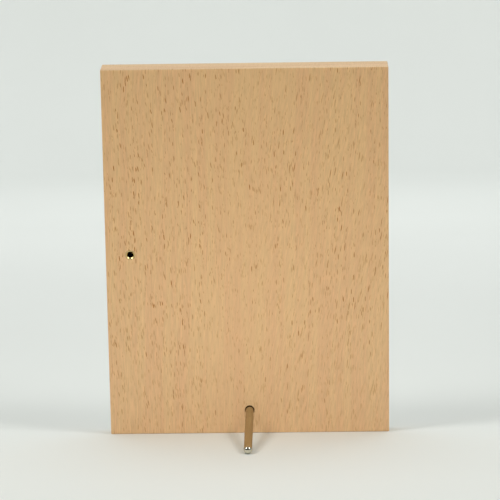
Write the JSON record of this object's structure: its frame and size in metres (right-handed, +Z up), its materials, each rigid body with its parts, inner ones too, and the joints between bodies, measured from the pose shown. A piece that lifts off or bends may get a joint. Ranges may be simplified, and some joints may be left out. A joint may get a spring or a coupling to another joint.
{
  "type": "photo panel with stand pin",
  "caption": "Leaning solid beech picture panel with brass threaded inserts in its back and a polished steel stand pin that screws into either insert.",
  "frame": {"origin": "on the surface that the object stands on, under the middle of its bounding box", "axes": "+Z up; the picture faces -Y and the stand pin points to +Y; +X is to the right of someone who looks at the picture"},
  "size_m": [0.15, 0.0828, 0.1996],
  "materials": {
    "beech": "fine-sanded satin beech with short dark ray flecks",
    "brass": "machined",
    "polished_steel": "mirror polished",
    "print": "satin photo print",
    "film": "clear bonding film"
  },
  "bodies": {
    "panel": {"beech_panel": "beech", "portrait_insert": "brass", "landscape_insert": "brass", "adhesive_film": "film", "picture_print": "print"},
    "pin": {"stand_pin": "polished_steel"}
  },
  "joints": [
    {"name": "stand_pin_unscrew", "type": "slide", "parent": "panel", "child": "pin", "axis": [0, 0.9864, -0.1643], "range_m": [0, 0.012]}
  ]
}
